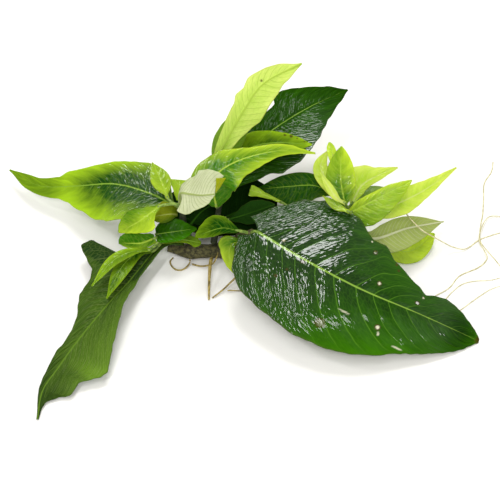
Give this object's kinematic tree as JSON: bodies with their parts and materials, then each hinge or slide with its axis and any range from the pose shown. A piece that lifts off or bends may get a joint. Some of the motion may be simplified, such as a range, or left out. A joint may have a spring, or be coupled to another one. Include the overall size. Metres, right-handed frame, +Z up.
{
  "type": "hygrophila plant",
  "caption": "Bare-rooted hygrophila water plant lying on its rhizome and roots: leafy shoots, broad dark old leaves, young pale leaves and thin roots.",
  "frame": {"origin": "middle of the plant's footprint, on the surface that it rests on", "axes": "+X to the plant's right along its longest extent, from the tip of the long left leaf to the right roots; +Y away from the broad front leaf; +Z up"},
  "size_m": [0.2597, 0.164, 0.0825],
  "materials": {
    "leaf_dark": "glossy, wet upper side",
    "leaf_green": "glossy, wet upper side",
    "leaf_young": "glossy, thin and translucent",
    "leaf_olive": "satin, thin and translucent",
    "leaf_pale": "matt underside",
    "leaf_lime": "satin, thin and translucent",
    "stem": "satin",
    "rhizome": "matt, fibrous",
    "root": "matt"
  },
  "bodies": {
    "root": {"rhizome": "rhizome", "stump": "rhizome", "shoot_left": "stem", "shoot_fan": "stem", "shoot_crown": "stem", "shoot_right": "stem", "leaf_front_broad": "leaf_dark", "leaf_low_left_old": "leaf_dark", "leaf_left_long": "leaf_green", "leaf_back_dark": "leaf_dark", "leaf_crown_pale": "leaf_lime", "leaf_crown_behind": "leaf_green", "leaf_crown_arched": "leaf_young", "leaf_crown_olive": "leaf_olive", "leaf_left_upper": "leaf_young", "leaf_left_bud": "leaf_young", "leaf_left_pale": "leaf_pale", "leaf_left_olive": "leaf_olive", "leaf_fan_upper": "leaf_young", "leaf_fan_cupped": "leaf_young", "leaf_fan_narrow": "leaf_young", "leaf_fan_slender": "leaf_green", "leaf_fan_dark": "leaf_dark", "leaf_fan_low": "leaf_green", "leaf_front_small": "leaf_young", "leaf_centre_short": "leaf_green", "leaf_centre_grey": "leaf_olive", "leaf_centre_twisted": "leaf_young", "leaf_centre_dark": "leaf_dark", "leaf_under_dark": "leaf_dark", "leaf_inner_left": "leaf_dark", "leaf_inner_right": "leaf_dark", "leaf_inner_back": "leaf_dark", "leaf_right_dark": "leaf_green", "leaf_right_lime": "leaf_lime", "leaf_right_bud": "leaf_young", "leaf_right_upright": "leaf_olive", "leaf_right_side": "leaf_lime", "leaf_right_grey": "leaf_pale", "leaf_right_glossy": "leaf_young", "leaf_right_tip": "leaf_lime", "leaf_right_underside": "leaf_pale", "leaf_right_cupped": "leaf_young", "leaf_right_sliver": "leaf_lime", "leaf_right_strap": "leaf_young", "root_right_long": "root", "root_right_back": "root", "root_right_front": "root", "root_right_low": "root", "root_right_lowest": "root", "root_middle_straight": "root", "root_middle_fork": "root", "root_middle_side": "root", "root_middle_front": "root", "root_middle_loop": "root"}
  },
  "joints": []
}
